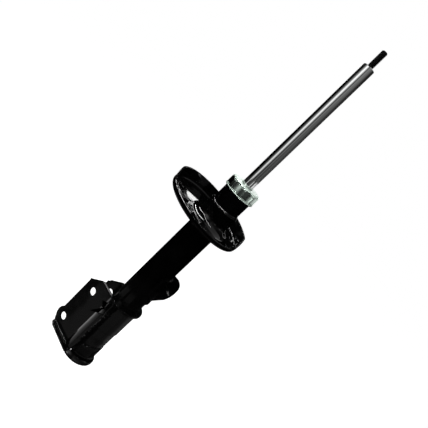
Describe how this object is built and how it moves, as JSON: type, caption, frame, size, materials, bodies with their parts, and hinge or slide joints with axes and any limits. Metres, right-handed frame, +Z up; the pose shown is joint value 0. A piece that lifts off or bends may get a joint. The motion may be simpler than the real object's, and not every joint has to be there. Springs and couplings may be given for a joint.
{
  "type": "strut assembly",
  "caption": "MacPherson strut: gas-charged damper tube with a chromed rod, an offset tilted spring seat, a two-leg knuckle bracket, a stabiliser link bracket and a fluted bump cap.",
  "frame": {"origin": "centre of the rod's shoulder, on the strut's axis, where the top mount seats", "axes": "+Z up the rod along the strut's axis, +X from the tube towards the open side of the knuckle bracket, Y across the bracket's two legs"},
  "size_m": [0.1531, 0.1559, 0.6955],
  "materials": {
    "gloss_black": "gloss",
    "painted_weld": "gloss",
    "zinc_plate": "bright zinc plate",
    "chrome_rod": "polished hard chrome",
    "bright_steel": "turned",
    "spring_steel": "ground",
    "sintered_iron": "sintered",
    "bush_bronze": "lined bush",
    "seal_rubber": "moulded",
    "stop_plastic": "moulded"
  },
  "bodies": {
    "barrel": {"outer_tube": "gloss_black", "base_cap": "gloss_black", "spring_seat": "gloss_black", "knuckle_leg_left": "gloss_black", "knuckle_leg_right": "gloss_black", "bracket_strap": "gloss_black", "bracket_web": "gloss_black", "link_bracket": "gloss_black", "link_nut": "gloss_black", "base_weld": "painted_weld", "seat_weld": "painted_weld", "seam_weld_left": "painted_weld", "seam_weld_right": "painted_weld", "link_weld": "painted_weld", "bump_cap": "zinc_plate", "inner_cylinder": "bright_steel", "base_rivet": "bright_steel", "seal_washer": "bright_steel", "base_check_spring": "spring_steel", "base_shims": "spring_steel", "base_valve_body": "sintered_iron", "rod_guide": "sintered_iron", "guide_bush": "bush_bronze", "rod_seal": "seal_rubber"},
    "band": {"piston_band": "stop_plastic"},
    "rod": {"piston_rod": "chrome_rod", "rebound_stop": "bright_steel", "rebound_cushion": "stop_plastic", "piston_support": "bright_steel", "piston_check_spring": "spring_steel", "piston": "sintered_iron", "piston_shims": "spring_steel", "piston_washer": "bright_steel", "piston_nut": "bright_steel"},
    "base_check": {"base_check_plate": "spring_steel"},
    "piston_check": {"piston_check_plate": "spring_steel"}
  },
  "joints": [
    {"name": "rod_slide", "type": "slide", "parent": "barrel", "child": "band", "axis": [0, 0, 1], "range_m": [-0.2, 0], "stiffness_N_per_m": 400, "springref_m": 0.3},
    {"name": "rod_spin", "type": "hinge", "parent": "band", "child": "rod", "pos_m": [0, 0, -0.406], "axis": [0, 0, 1], "continuous": true},
    {"name": "base_check_lift", "type": "slide", "parent": "barrel", "child": "base_check", "axis": [0, 0, 1], "range_m": [0, 0.0012], "stiffness_N_per_m": 1500, "springref_m": -0.001, "deforming": ["base_check_spring"]},
    {"name": "piston_check_lift", "type": "slide", "parent": "rod", "child": "piston_check", "axis": [0, 0, 1], "range_m": [0, 0.0012], "stiffness_N_per_m": 1500, "springref_m": -0.001, "deforming": ["piston_check_spring"]}
  ]
}
